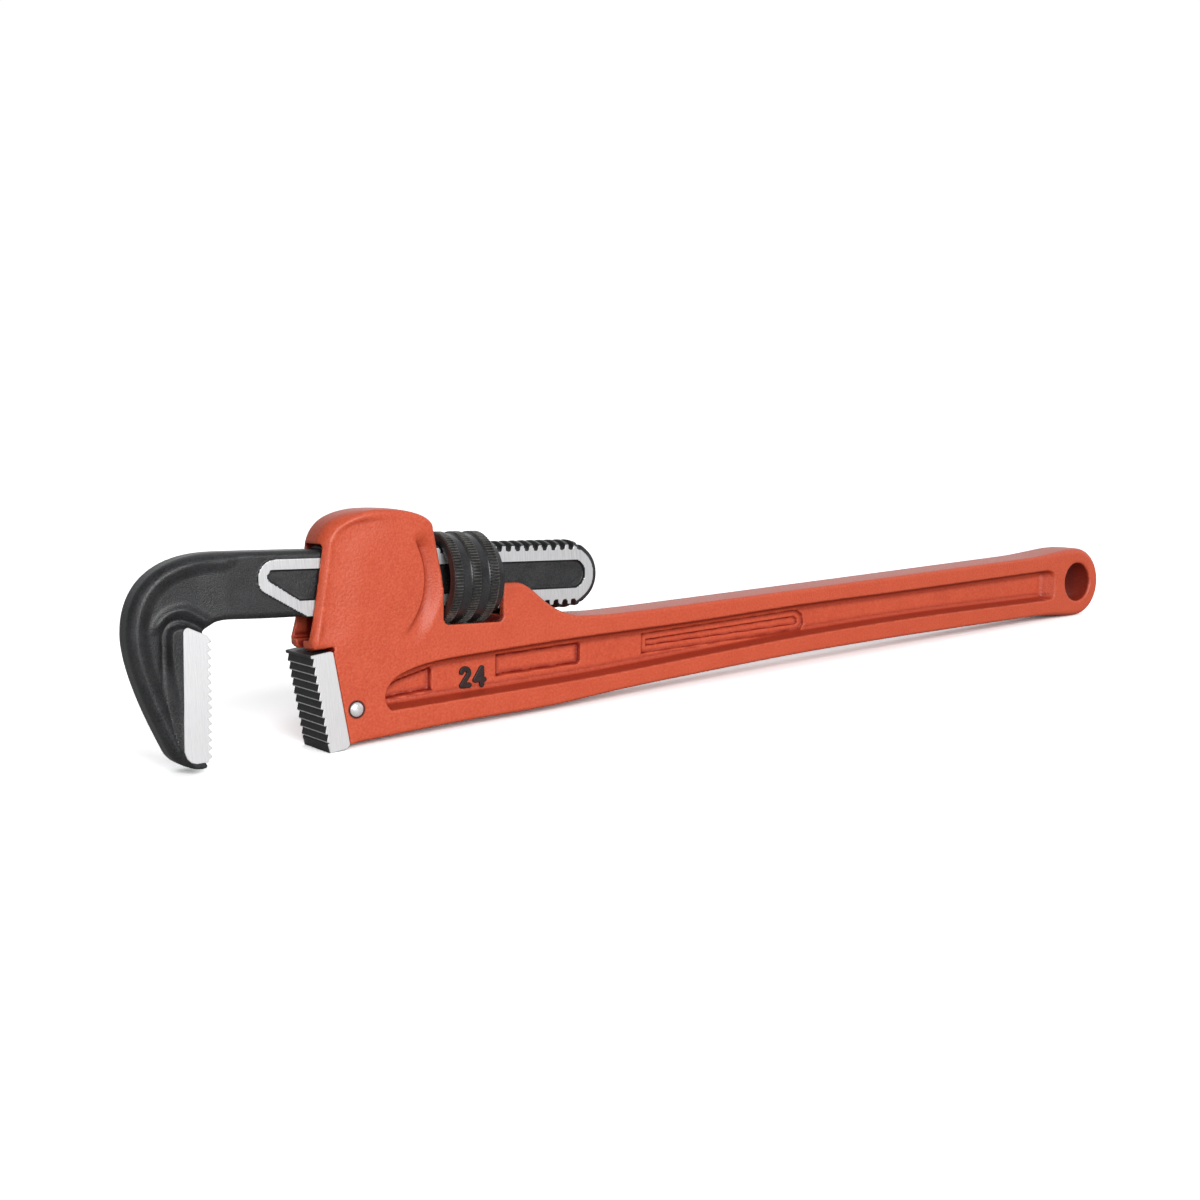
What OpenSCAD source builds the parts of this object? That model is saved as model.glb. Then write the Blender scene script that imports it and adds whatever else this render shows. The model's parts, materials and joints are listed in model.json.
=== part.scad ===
// Straight pipe wrench, 24 inch pattern: I-beam handle with a cast housing, sliding hook
// jaw with a threaded shank, knurled adjusting nut, pinned heel jaw and a sprung shank rest.
//
// Every piece is drawn in the shank's own frame: X along the shank towards the handle end,
// Z square to it, and the shank's axis at z = 0. in_place() then moves the hanging hole to
// the origin and leans the wrench so that the hook's tip and the handle's end stand on one
// level, as the tool stands on its narrow edge.

/* [Handle and housing] */
// Half of the thickness of the handle and of the housing
body_half_t = 12.5; // [11.5:0.1:13.5]
// Half of the thickness of the web between the two side channels
web_half_t = 5; // [4:0.1:7]
// How much deeper the three panels are than the channel's floor
panel_depth = 2; // [0.5:0.1:2.5]
// Half of the width of the slot that guides the shank
slot_half_w = 8.2; // [8:0.05:8.6]
// Height of the slot's roof above the shank's axis
slot_roof = 17; // [16.8:0.1:18]
// Depth of the slot's floor below the shank's axis
slot_floor = 24.2; // [23.8:0.1:25]
// Radius of the trough that clears the adjusting nut
trough_r = 23.2; // [22.2:0.1:24]
// Depth of the floor under the shank behind the nut
guide_floor = 17.4; // [17:0.1:18]

/* [Hanging hole] */
// Distance from the middle knurl's front edge to the hanging hole
eye_x = 439.3; // [420:0.1:450]
// Height of the hanging hole over the shank's axis
eye_z = -17.2; // [-19:0.1:-15]
// Outer radius of the handle's end
eye_r = 21; // [20:0.1:23]
// Radius of the hanging hole
hole_r = 11.5; // [9:0.1:13]
// Width of the chamfer round the hole
hole_chamfer = 1.5; // [0.5:0.1:2]

/* [Hook jaw] */
// Half of the thickness of the shank's ground sides
shank_half_t = 7.5; // [7:0.05:7.7]
// Half of the thickness of the forged arm
arm_half_t = 7.1; // [6.5:0.05:7.5]
// Half of the thickness of the web inside the hook
hook_web_half_t = 6.4; // [5.5:0.1:7]
// Half of the thickness of the rim along the hook's back
rim_half_t = 8.6; // [8:0.1:9]
// Half of the thickness of the toothed block
block_half_t = 9.4; // [9:0.1:10.5]
// Distance between the hook's teeth
hook_tooth_pitch = 3.48; // [3.2:0.01:3.6]
// Number of the hook's teeth
hook_teeth = 15; // [12:1:15]
// Depth of the recess along each side of the shank
recess_depth = 1.4; // [0.5:0.1:2]

/* [Thread] */
// Distance between threads
thread_pitch = 5; // [4.5:0.1:5.5]
// Radius of the shank's thread crests
crest_r = 16.4; // [16.2:0.05:16.6]
// Radius of the shank's thread roots
root_r = 14.2; // [13.8:0.05:14.5]
// Clearance between the two threads
thread_gap = 0.35; // [0.25:0.05:0.45]

/* [Adjusting nut] */
// Outer radius of the knurled bands
nut_r = 21.35; // [20.5:0.05:21.6]
// Depth of the two smooth grooves
nut_groove = 1; // [0.5:0.1:1.5]
// Outer radius of the plain collar behind the knurls
collar_r = 18.6; // [18:0.1:20]

/* [Heel jaw] */
// Half of the width of the heel jaw
heel_half_t = 12.1; // [11:0.1:12.5]
// Distance between the heel jaw's teeth
heel_tooth_pitch = 3.75; // [3.6:0.01:3.9]
// Number of the heel jaw's teeth
heel_teeth = 10; // [8:1:10]
// Radius of the pin that holds the heel jaw
pin_r = 3.3; // [2.5:0.05:3.5]
// How far each domed end of the pin stands out
pin_dome = 1.2; // [0.6:0.1:1.6]

/* [Springs] */
// Thickness of the flat spring
leaf_t = 1.2; // [1:0.1:1.4]
// Half of the width of the flat spring
leaf_half_w = 6.5; // [5.5:0.1:7]
// Radius of the coil spring to the middle of its wire
coil_r = 4.4; // [4:0.1:5]
// Diameter of the coil spring's wire
coil_wire = 1.3; // [1:0.1:1.5]
// Turns of the coil spring
coil_turns = 5; // [4:0.5:6]

/* [Hidden] */

cut = 0.1;                  // how far a cutter runs past the face it opens
lean = 3.9;                 // angle between the shank and the level that the tool stands on
casting = "orangered";
forging = [0.12, 0.12, 0.13];

// Lengthwise stations of the housing and the nut
housing_rear = -9.4;        // housing wall in front of the nut
window_rear = 21.8;         // guide wall behind the nut
nut_front = -8.9;
nut_rear = 20.7;
// Lower and upper edge of every knurled band, along the shank
knurl_bands = [[-8.9, -4.2], [0, 5.1], [9.3, 14.5]];
knurl_rear = knurl_bands[2][1];

// The heel jaw's seat, from its upper to its lower end
seat_top = [-64.5, -28.3];
seat_foot = [-56.4, -70.2];
heel_lean = atan2(seat_foot[0] - seat_top[0], seat_top[1] - seat_foot[1]);
heel_depth = 10.6;          // from the seat to the tooth tips
heel_tooth_depth = 2;
pin_at = [-53.2, -54.8];
pin_fit = 0.05;             // running clearance round the pin
tenon_half_t = 5;
tenon_gap = 0.2;

hook_face = -117.8;         // where the hook's tooth tips are
hook_tooth_depth = 1.9;
first_hook_tooth = -19.6;

rivet_x = -22;
rivet_foot = -31.8;
rivet_head = -20.7;         // underside of the rivet's head, over the leaf
coil_x = -46;
leaf_top = -17;             // the leaf's face against the shank
leaf_base = -21.6;          // the leaf's face at the rivet
coil_pocket_floor = -35;

// A cubic curve through four control points, and the points along it
function curve(p, n = 12) = [for (i = [0 : n]) let (t = i / n, s = 1 - t)
    s*s*s * p[0] + 3*s*s*t * p[1] + 3*s*t*t * p[2] + t*t*t * p[3]];

// Moves a piece from the shank's frame to the tool's own frame
module in_place() {
    rotate([0, lean, 0]) translate([-eye_x, 0, -eye_z]) children();
}

// Extrudes a side view, drawn with X along and Y up, to a plate across the tool
module plate(half_t) {
    rotate([90, 0, 0]) linear_extrude(height = 2 * half_t, center = true) children();
}

// A bar along the shank's axis
module along(x0, x1, r) {
    translate([x0, 0, 0]) rotate([0, 90, 0]) cylinder(r = r, h = x1 - x0, $fn = 96);
}

// A round pin or hole across the tool
module across(at, r, half_l) {
    translate([at[0], 0, at[1]]) rotate([90, 0, 0])
        cylinder(r = r, h = 2 * half_l, center = true, $fn = 64);
}

// ---------------------------------------------------------------- handle

// Side view of the housing, from the heel jaw's seat round to the nut's window
module housing_outline() {
    front = curve([[-69.3, 12], [-68.9, 25], [-62, 31], [-46, 32.2]]);
    top = curve([[-46, 32.2], [-30, 33.4], [-17, 30.5], [-14.6, 25]]);
    polygon(concat([seat_foot, seat_top, [-73.4, -25.9], [-74.6, -24]], front, top,
        [[housing_rear - 0.2, 2], [housing_rear, -12], [housing_rear, -30], [0, -50], [-20, -66.6]]));
}

// Side view of the bar from under the nut to the hanging eye
module bar_outline() {
    hump = curve([[30, -2.2], [40, -3], [46, -17.6], [66, -19.4]]);
    neck_top = curve([[392, -0.9], [412, 0.4], [424, 3.6], [eye_x, eye_z + eye_r]]);
    neck_foot = curve([[eye_x, eye_z - eye_r], [424, -38.2], [410, -36.4], [392, -37.4]]);
    polygon(concat([[-20, -40], [window_rear - 40, -24], [window_rear, -2.2]], hump,
        [[84, -19.5], [112, -18.1]], neck_top, neck_foot,
        [[285, -42.6], [209, -47.3], [140, -53], [90, -57.6], [54, -61.7], [-6, -65.7], seat_foot,
        [-50, -50]]));
    translate([eye_x, eye_z]) circle(r = eye_r, $fn = 96);
}

// Side view of the channel in each face of the bar
module channel_outline() {
    tip = curve([[-36, -56.8], [-41, -53], [-40, -45.5], [-32, -41.2]], 8);
    crown = curve([[-32, -41.2], [-22, -36.6], [-10, -35.6], [0, -34.7]], 6);
    far_end = curve([[404, -9.6], [418, -9], [420, -27.6], [403, -27.2]], 8);
    polygon(concat(tip, crown, [[53, -30.7], [138, -25.7], [207, -20.8], [282, -16.7]], far_end,
        [[283, -33], [207, -38], [139, -44], [77, -49.6], [-6, -54.9]]));
}

// The three panels sunk in the channel's floor
module panels_outline() {
    polygon([[-37, -53], [-37.5, -48.5], [-30, -44.2], [-13, -39.6], [-12, -40.5], [-12, -50.6]]);
    polygon([[22, -36.2], [68.5, -33.2], [70, -34.5], [70, -42.6], [68.5, -44], [22, -46.6]]);
    polygon([[104, -31.3], [208, -24.6], [211, -26.8], [211, -31.6], [208, -34], [104, -41]]);
}

// The plan of the housing's rounded front, as a cutter along the leaning front face
module front_rounding() {
    nose = curve([[0, 6], [1, 10.5], [3, body_half_t], [9, body_half_t + 1]], 8);
    for (side = [0, 1]) mirror([0, side, 0])
        translate([-74.9, 0, -26]) rotate([0, 8.6, 0]) translate([0, 0, -14])
        linear_extrude(height = 90)
            polygon(concat([[-12, 6]], nose, [[9, 20], [-12, 20]]));
}

// The pocket for the heel jaw's tenon, and its profile
module tenon_outline(grow) {
    polygon([[-66, -38 + grow], [-50 + grow, -42 + grow], [-44 + grow, -47], [-44 + grow, -60],
        [-50 + grow, -64 - grow], [-60, -66 - grow]]);
}

module handle() color(casting) in_place() difference() {
    union() {
        plate(body_half_t) housing_outline();
        plate(body_half_t) bar_outline();
    }
    front_rounding();
    // the slot for the shank, the nut's window and the guide behind it
    translate([-90, -slot_half_w, -slot_floor])
        cube([90 + housing_rear + cut, 2 * slot_half_w, slot_floor + slot_roof]);
    along(housing_rear, window_rear, trough_r);
    translate([housing_rear, -20, 0]) cube([window_rear - housing_rear, 40, 40]);
    translate([window_rear - 20, -slot_half_w, -guide_floor])
        cube([70, 2 * slot_half_w, 40]);
    // side channels and their panels
    for (side = [-1, 1]) {
        translate([0, side * (web_half_t + 10), 0]) plate(10) channel_outline();
        translate([0, side * (web_half_t - panel_depth + 5), 0]) plate(5) panels_outline();
    }
    // the heel jaw's tenon and pin
    plate(tenon_half_t + tenon_gap) tenon_outline(tenon_gap);
    across(pin_at, pin_r, body_half_t + cut);
    // the hanging hole with its chamfers
    across([eye_x, eye_z], hole_r, body_half_t + cut);
    for (side = [-1, 1]) translate([eye_x, side * body_half_t, eye_z]) rotate([side * 90, 0, 0])
        translate([0, 0, -cut]) cylinder(r1 = hole_r + hole_chamfer + cut, r2 = hole_r,
            h = hole_chamfer + cut, $fn = 64);
    // the coil spring's pocket and the rivet's hole, under the flat spring
    translate([coil_x, 0, coil_pocket_floor]) cylinder(r = coil_r + 1.2, h = 15, $fn = 64);
    translate([rivet_x, 0, -32]) cylinder(r = 2, h = 12, $fn = 48);
}

// ---------------------------------------------------------------- hook jaw

// Outer edge of the hook, from the arm's top round the back to the tip; inset moves it inwards
function hook_back(inset) = concat(
    curve([[-112, 14.9 - inset], [-138 + inset, 14.9 - inset], [-151 + inset, 2], [-151 + inset, -18]]),
    curve([[-151 + inset, -18], [-151 + inset, -34], [-139 + inset, -58], [-134 + inset, -68]]));

module hook_outline() {
    tip = curve([[-134, -68], [-131, -74], [-126, -76.4], [-121, -76.4]], 8);
    throat = curve([[-119.7, -19], [-118.4, -15.5], [-114, -13.5], [-108, -13.5]], 6);
    polygon(concat(hook_back(0), tip, [[-119.7, -75]], throat, [[-92, -13.8], [-92, 14.9]]));
}

// The raised rim along the hook's back
module rim_outline() {
    inner = hook_back(4.6);
    tip = curve([[-134, -68], [-131, -74], [-126, -76.4], [-121, -76.4]], 8);
    polygon(concat(hook_back(0), tip, [[-121, -73]],
        [for (i = [len(inner) - 1 : -1 : 0]) inner[i]]));
}

// One tooth, pointing along -X from its root line, with its undercut flank below
module tooth(depth, pitch) {
    polygon([[0.4, 0.02], [0, 0], [-depth, -0.8 * pitch], [-depth + 0.1, -0.88 * pitch],
        [0, -pitch], [0.4, -pitch - 0.02]]);
}

// The ground plateau along the side of the shank
module plateau_outline() {
    nose = curve([[-74, -14], [-82, -9.2], [-90, -4.8], [-94.4, -2.2]], 4);
    bow = curve([[-94.4, -2.2], [-98.4, 2], [-96, 11.4], [-88, 11.6]], 8);
    polygon(concat([[-66, -14]], nose, bow, [[-66, 11.6], [-66, 18], [80, 18], [80, -18], [-66, -18]]));
}

// Side view that rounds the shank's rear end
module shank_end_outline() {
    upper = curve([[62, 20], [66, 15], [77.6, 11], [77.6, 0]]);
    lower = curve([[77.6, 0], [77.6, -11], [66, -15], [62, -20]]);
    polygon(concat([[-110, 20]], upper, lower, [[-110, -20]]));
}

module recess_outline() {
    polygon(concat([[64, -6.2], [-76.6, -6.2], [-79, -5], [-91, 2.6]],
        [[-91.6, 4.6], [-90, 6.6], [64, 6.6]]));
    translate([64, 0.2]) circle(r = 6.4, $fn = 48);
}

// Straight ring grooves across the shank's upper or lower edge, leaning as the thread does
module thread_cuts() {
    helix = atan(thread_pitch / (2 * PI * (crest_r + root_r) / 2));
    first = -63;
    for (side = [0, 1]) mirror([0, 0, side]) difference() {
        for (i = [0 : 24]) translate([first + (i + side / 2) * thread_pitch, 0, 0])
            rotate([0, 0, (side == 0 ? 1 : -1) * helix]) rotate([0, 90, 0])
                rotate_extrude($fn = 96) polygon([[root_r, -0.8], [crest_r + 1, -1.85],
                    [crest_r + 1, 1.85], [root_r, 0.8]]);
        translate([-80, -20, -40]) cube([170, 40, 40]);
    }
}

module hook_jaw() color(forging) in_place() {
    difference() {
        union() {
            plate(hook_web_half_t) hook_outline();
            plate(rim_half_t) rim_outline();
            // the toothed block
            translate([-129, -block_half_t, -72.6])
                cube([129 - 119.7, 2 * block_half_t, 72.6 - 17]);
            plate(block_half_t) intersection() {
                for (i = [0 : hook_teeth - 1])
                    translate([hook_face - hook_tooth_depth,
                        first_hook_tooth - (i + 1) * hook_tooth_pitch])
                        mirror([1, 0]) mirror([0, 1]) tooth(hook_tooth_depth, hook_tooth_pitch);
                translate([-125, -72.6]) square([20, 72.6 - 17]);
            }
            // the forged arm and the ground shank
            translate([-116, -arm_half_t, -13.6]) cube([50, 2 * arm_half_t, 28.4]);
            intersection() {
                plate(shank_half_t) plateau_outline();
                plate(shank_half_t + 1) shank_end_outline();
                along(-110, 80, crest_r);
            }
        }
        for (side = [-1, 1]) translate([0, side * (shank_half_t - recess_depth / 2 + cut), 0])
            plate(recess_depth / 2 + cut) recess_outline();
        thread_cuts();
    }
}

// ---------------------------------------------------------------- heel jaw

module heel_jaw() color(forging) in_place() difference() {
    union() {
        plate(heel_half_t) translate(seat_top) rotate(heel_lean) union() {
            polygon([[-0.15, 0], [-heel_depth + heel_tooth_depth, 0.4],
                [-heel_depth + heel_tooth_depth, -43.4], [-2, -43.6], [-0.15, -42.4]]);
            translate([-heel_depth + heel_tooth_depth, 0.4]) for (i = [0 : heel_teeth - 1])
                translate([0, -1.6 - i * heel_tooth_pitch]) tooth(heel_tooth_depth, heel_tooth_pitch);
            translate([-heel_depth + 0.6, -1.4]) square([2, 1.8]);
            translate([-heel_depth + 0.6, -43.4]) square([2, 5]);
        }
        plate(tenon_half_t) tenon_outline(0);
    }
    across(pin_at, pin_r + pin_fit, 20);
}

module heel_jaw_pin() color("silver") in_place() union() {
    across(pin_at, pin_r - pin_fit / 5, body_half_t - 0.4);
    // domed ends, upset over the hole
    for (side = [-1, 1]) translate([pin_at[0], side * (body_half_t - 0.4), pin_at[1]])
        rotate([-side * 90, 0, 0]) rotate_extrude($fn = 64)
            polygon(concat([[0, 0], [pin_r - pin_fit / 5, 0]],
                [for (a = [0 : 15 : 90]) [(pin_r - pin_fit / 5) * cos(a),
                    0.4 + pin_dome * sin(a)]]));
}

// ---------------------------------------------------------------- adjusting nut

// The helical rib inside the nut, which runs in the shank's grooves
module nut_thread() {
    steps = 30;
    turns = 5.6;
    count = floor(steps * turns);
    start = nut_front + 0.9;
    // The rib is in step with a groove centre that lies on top of the shank
    phase = 360 * (start + 63) / thread_pitch + 90;
    tip_r = root_r + thread_gap;
    foot_r = crest_r + thread_gap + 0.25;
    half_tip = 0.8 - thread_gap + 0.12;
    half_foot = 1.85 - thread_gap - 0.25;
    rib = [for (i = [0 : count]) let (a = phase + i * 360 / steps,
            x = start + i * thread_pitch / steps)
        each [for (p = [[-half_tip, tip_r], [half_tip, tip_r], [half_foot, foot_r],
            [-half_foot, foot_r]]) [x + p[0], p[1] * cos(a), p[1] * sin(a)]]];
    sides = [for (i = [0 : count - 1], k = [0 : 3]) let (a = 4 * i + k,
            b = 4 * i + (k + 1) % 4)
        each [[a, b, b + 4], [a, b + 4, a + 4]]];
    ends = [[0, 3, 2, 1], [4 * count, 4 * count + 1, 4 * count + 2, 4 * count + 3]];
    polyhedron(points = rib, faces = concat([for (f = sides) [f[2], f[1], f[0]]],
        [for (f = ends) [for (k = [3 : -1 : 0]) f[k]]]), convexity = 6);
}

module adjusting_nut() color(forging) in_place() {
    bore = crest_r + thread_gap;
    groove_r = nut_r - nut_groove;
    rotate([90, 0, 90]) rotate_extrude($fn = 96) polygon([[bore, nut_front],
        [nut_r - 0.8, nut_front], [nut_r, nut_front + 0.8], [nut_r, knurl_bands[0][1]],
        [groove_r, knurl_bands[0][1] + 0.6], [groove_r, knurl_bands[1][0] - 0.6],
        [nut_r, knurl_bands[1][0]], [nut_r, knurl_bands[1][1]],
        [groove_r, knurl_bands[1][1] + 0.6], [groove_r, knurl_bands[2][0] - 0.6],
        [nut_r, knurl_bands[2][0]], [nut_r, knurl_rear - 0.8], [nut_r - 0.8, knurl_rear],
        [collar_r, knurl_rear], [collar_r, nut_rear - 0.6], [collar_r - 0.6, nut_rear],
        [bore, nut_rear]]);
    nut_thread();
}

// ---------------------------------------------------------------- springs

module flat_spring() color("dimgray") in_place() difference() {
    plate(leaf_half_w) {
        rise = curve([[-30, leaf_base], [-34, leaf_base], [-34, leaf_top], [-39, leaf_top]], 6);
        fall = curve([[-39, leaf_top - leaf_t], [-35, leaf_top - leaf_t],
            [-35, leaf_base - leaf_t], [-30, leaf_base - leaf_t]], 6);
        polygon(concat([[-13, leaf_base]], rise, [[-61, leaf_top], [-65, leaf_top - 1.6],
            [-65.4, leaf_top - 2.7], [-61.3, leaf_top - leaf_t]], fall,
            [[-13, leaf_base - leaf_t]]));
    }
    // the long hole that lets the spring ride on its rivet
    translate([rivet_x - 1.5, 0, -30]) cylinder(r = 2.7, h = 12, $fn = 48);
    translate([rivet_x - 1.5, -2.7, -30]) cube([3, 5.4, 12]);
    translate([rivet_x + 1.5, 0, -30]) cylinder(r = 2.7, h = 12, $fn = 48);
}

module coil_spring() color("gray") in_place() {
    steps = 12;
    sides = 8;
    low = coil_pocket_floor + coil_wire / 2 + 0.1;
    high = leaf_top - leaf_t - coil_wire / 2 - 0.15;
    count = floor(coil_turns * steps);
    wire = [for (i = [0 : count]) let (a = i * 360 / steps, z = low + (high - low) * i / count)
        each [for (k = [0 : sides - 1]) let (b = k * 360 / sides,
            r = coil_r + coil_wire / 2 * cos(b))
        [coil_x + r * cos(a), r * sin(a), z + coil_wire / 2 * sin(b)]]];
    skin = [for (i = [0 : count - 1], k = [0 : sides - 1])
        let (a = sides * i + k, b = sides * i + (k + 1) % sides)
        each [[a, b, b + sides], [a, b + sides, a + sides]]];
    polyhedron(points = wire, faces = concat(skin, [[for (k = [sides - 1 : -1 : 0]) k],
        [for (k = [0 : sides - 1]) sides * count + k]]), convexity = 8);
}

module spring_rivet() color("gray") in_place() translate([rivet_x, 0, 0]) union() {
    translate([0, 0, rivet_foot]) cylinder(r = 1.98, h = rivet_head - rivet_foot + cut, $fn = 48);
    translate([0, 0, rivet_head]) cylinder(r1 = 3.6, r2 = 2.6, h = 1.2, $fn = 48);
}

handle();
hook_jaw();
heel_jaw();
heel_jaw_pin();
adjusting_nut();
flat_spring();
coil_spring();
spring_rivet();
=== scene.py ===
"""A 24 inch straight pipe wrench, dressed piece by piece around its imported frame.

Shapes are drawn in the shank's own frame, in millimetres: x along the shank towards the
handle's end, y across the tool, z square to both, with the shank's axis at y = z = 0.
placed() takes them to the tool's frame, in metres, by the nut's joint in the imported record.
"""

import json
import math

import bpy
import numpy as np
from mathutils import Matrix, Vector


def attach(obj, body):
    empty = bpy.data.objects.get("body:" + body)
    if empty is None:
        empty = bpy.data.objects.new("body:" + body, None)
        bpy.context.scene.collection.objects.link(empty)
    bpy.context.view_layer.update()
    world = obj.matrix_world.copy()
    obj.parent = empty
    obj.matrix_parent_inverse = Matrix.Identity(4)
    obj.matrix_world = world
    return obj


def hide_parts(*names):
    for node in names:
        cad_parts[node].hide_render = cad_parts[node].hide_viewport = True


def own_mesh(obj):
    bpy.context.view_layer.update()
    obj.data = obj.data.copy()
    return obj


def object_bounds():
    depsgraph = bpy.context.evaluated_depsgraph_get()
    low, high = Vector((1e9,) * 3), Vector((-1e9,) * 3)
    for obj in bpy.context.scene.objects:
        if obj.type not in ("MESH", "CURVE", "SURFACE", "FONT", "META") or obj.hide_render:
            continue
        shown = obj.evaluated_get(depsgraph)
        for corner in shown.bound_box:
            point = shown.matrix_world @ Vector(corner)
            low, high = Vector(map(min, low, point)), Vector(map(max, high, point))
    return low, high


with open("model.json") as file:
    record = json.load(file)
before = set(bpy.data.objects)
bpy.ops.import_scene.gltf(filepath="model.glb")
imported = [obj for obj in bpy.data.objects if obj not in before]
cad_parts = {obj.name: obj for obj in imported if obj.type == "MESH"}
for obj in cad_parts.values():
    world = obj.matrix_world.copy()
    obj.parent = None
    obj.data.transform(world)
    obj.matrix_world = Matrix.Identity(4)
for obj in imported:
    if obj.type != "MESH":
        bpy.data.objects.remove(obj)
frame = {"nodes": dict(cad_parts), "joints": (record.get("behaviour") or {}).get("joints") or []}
cad_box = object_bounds()

# ------------------------------------------------------------------ handle casting
# One ductile-iron casting: the I-beam bar with its two side channels, the housing that
# guides the shank, the nut's window and the hanging eye. Sand cast, so every edge is
# rounded and every wall has draft, then dipped in orange-red enamel.

joints = {j["name"]: j for j in frame["joints"]}
shank_origin = np.array(joints["nut_spin"]["pos_m"])
along = np.array(joints["nut_spin"]["axis"])
across = np.array([0.0, 1.0, 0.0])
upward = np.cross(along, across)
shank_axes = np.array([along, across, upward])


def placed(points):
    """Shank-frame millimetres to tool-frame metres."""
    return shank_origin + np.asarray(points, float) @ shank_axes / 1000


def bend(a, b, c, d, n=24):
    """Points along a cubic curve through its four control points."""
    t = np.linspace(0, 1, n + 1)[:, None]
    a, b, c, d = (np.array(p, float) for p in (a, b, c, d))
    return (1 - t) ** 3 * a + 3 * t * (1 - t) ** 2 * b + 3 * t * t * (1 - t) * c + t**3 * d


def flow(through, n=8):
    """A smooth line through every point given."""
    p = np.array(through, float)
    h = np.linalg.norm(np.diff(p, axis=0), axis=1)[:, None]
    s = np.diff(p, axis=0) / h
    inner = (s[:-1] * h[1:] + s[1:] * h[:-1]) / (h[:-1] + h[1:])
    m = np.vstack([s[:1], inner, s[-1:]])
    t = np.linspace(0, 1, n, endpoint=False)[:, None]
    spans = [
        (2 * t**3 - 3 * t**2 + 1) * p[i] + (t**3 - 2 * t**2 + t) * h[i] * m[i]
        + (3 * t**2 - 2 * t**3) * p[i + 1] + (t**3 - t**2) * h[i] * m[i + 1]
        for i in range(len(p) - 1)
    ]
    return np.vstack(spans + [p[-1:]])


def arc(centre, r, start, end, n=24):
    """Points round part of a circle, from start to end in degrees."""
    a = np.radians(np.linspace(start, end, n + 1))
    return np.stack([centre[0] + r * np.cos(a), centre[1] + r * np.sin(a)], 1)


def reach(line, x, z):
    """Distance from an open line."""
    near = np.full(np.broadcast(x, z).shape, 1e9)
    for (ax, az), (bx, bz) in zip(line[:-1], line[1:]):
        ex, ez = bx - ax, bz - az
        size = ex * ex + ez * ez
        if size > 1e-9:
            px, pz = x - ax, z - az
            t = np.clip((px * ex + pz * ez) / size, 0, 1)
            near = np.minimum(near, (px - t * ex) ** 2 + (pz - t * ez) ** 2)
    return np.sqrt(near)


def away(outline, x, z):
    """Signed distance from a closed outline, negative inside it."""
    outline = np.asarray(outline, float)
    loop = np.vstack([outline, outline[:1]])
    inside = np.zeros(np.broadcast(x, z).shape, bool)
    for (ax, az), (bx, bz) in zip(loop[:-1], loop[1:]):
        if az != bz:
            inside ^= ((az > z) != (bz > z)) & (x - ax < (bx - ax) * (z - az) / (bz - az))
    return np.where(inside, -1.0, 1.0) * reach(loop, x, z)


def shared(a, b, r):
    """Where both are inside, with the edge between them rounded to radius r."""
    return np.minimum(-r, np.maximum(a, b)) + np.hypot(np.maximum(a + r, 0), np.maximum(b + r, 0))


def joined(a, b, r):
    """Where either is inside, with a fillet of radius r between them."""
    return -shared(-a, -b, r)


def cut(a, b, r):
    """a with b taken away, its new edge rounded to radius r."""
    return shared(a, -b, r)


def ease(low, high, v):
    """0 below low, 1 above high, smooth between."""
    t = np.clip((v - low) / (high - low), 0, 1)
    return t * t * (3 - 2 * t)


def slope(shape, p, h=0.03):
    """Value and gradient of a shape function at points."""
    corners = np.array([[1, -1, -1], [-1, -1, 1], [-1, 1, -1], [1, 1, 1]], float)
    values = [shape(*(p + h * c).T) for c in corners]
    return sum(values) / 4, sum(v[:, None] * c for v, c in zip(values, corners)) / (4 * h)


def skin(shape, xs, ys, zs, steps=3):
    """A closed skin of quads on the surface where shape(x, y, z) is zero, with its normals."""
    axes = (xs, zs, ys)
    field = shape(xs[:, None, None], ys[None, None, :], zs[None, :, None])
    cells = np.array(field.shape) - 1
    total, count, quads = np.zeros((cells.prod(), 3)), np.zeros(cells.prod()), []
    for k in range(3):
        low, high = [slice(None)] * 3, [slice(None)] * 3
        low[k], high[k] = slice(None, -1), slice(1, None)
        a, b = field[tuple(low)], field[tuple(high)]
        at = np.argwhere((a < 0) != (b < 0))
        a, b = a[tuple(at.T)], b[tuple(at.T)]
        p = np.stack([axes[i][at[:, i]] for i in range(3)], 1)
        p[:, k] += a / (a - b) * (axes[k][at[:, k] + 1] - axes[k][at[:, k]])
        ring = []
        for du, dv in ((0, 0), (1, 0), (1, 1), (0, 1)):
            c = at.copy()
            c[:, (k + 1) % 3] -= du
            c[:, (k + 2) % 3] -= dv
            ring.append(np.ravel_multi_index(c.T, cells, mode="clip"))
        for r in ring:
            count += np.bincount(r, minlength=len(count))
            for i in range(3):
                total[:, i] += np.bincount(r, weights=p[:, i], minlength=len(count))
        quads.append(np.stack(ring, 1))
    used = count > 0
    number = np.cumsum(used) - 1
    faces = number[np.vstack(quads)]
    points = (total[used] / count[used][:, None])[:, [0, 2, 1]]
    for _ in range(steps):
        value, way = slope(shape, points)
        size = (way**2).sum(1) + 1e-9
        step = way * (value / size)[:, None]
        longest = np.linalg.norm(step, axis=1)
        points = points - step * np.minimum(1, 0.5 / np.maximum(longest, 1e-9))[:, None]
    way = slope(shape, points)[1]
    way /= np.linalg.norm(way, axis=1)[:, None] + 1e-12
    corner = points[faces]
    facing = np.cross(corner[:, 2] - corner[:, 0], corner[:, 3] - corner[:, 1])
    flipped = (facing * way[faces].sum(1)).sum(1) < 0
    faces[flipped] = faces[flipped][:, ::-1]
    return points, faces, way


def shelter(shape, points, normals):
    """How closed in each point is: 0 in the open, towards 1 in a corner or a pocket."""
    open_air = [shape(*(points + normals * d).T) / d for d in (1.5, 3.5, 6.0)]
    return np.clip(1.0 - np.mean(open_air, 0), 0, 1)


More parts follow.
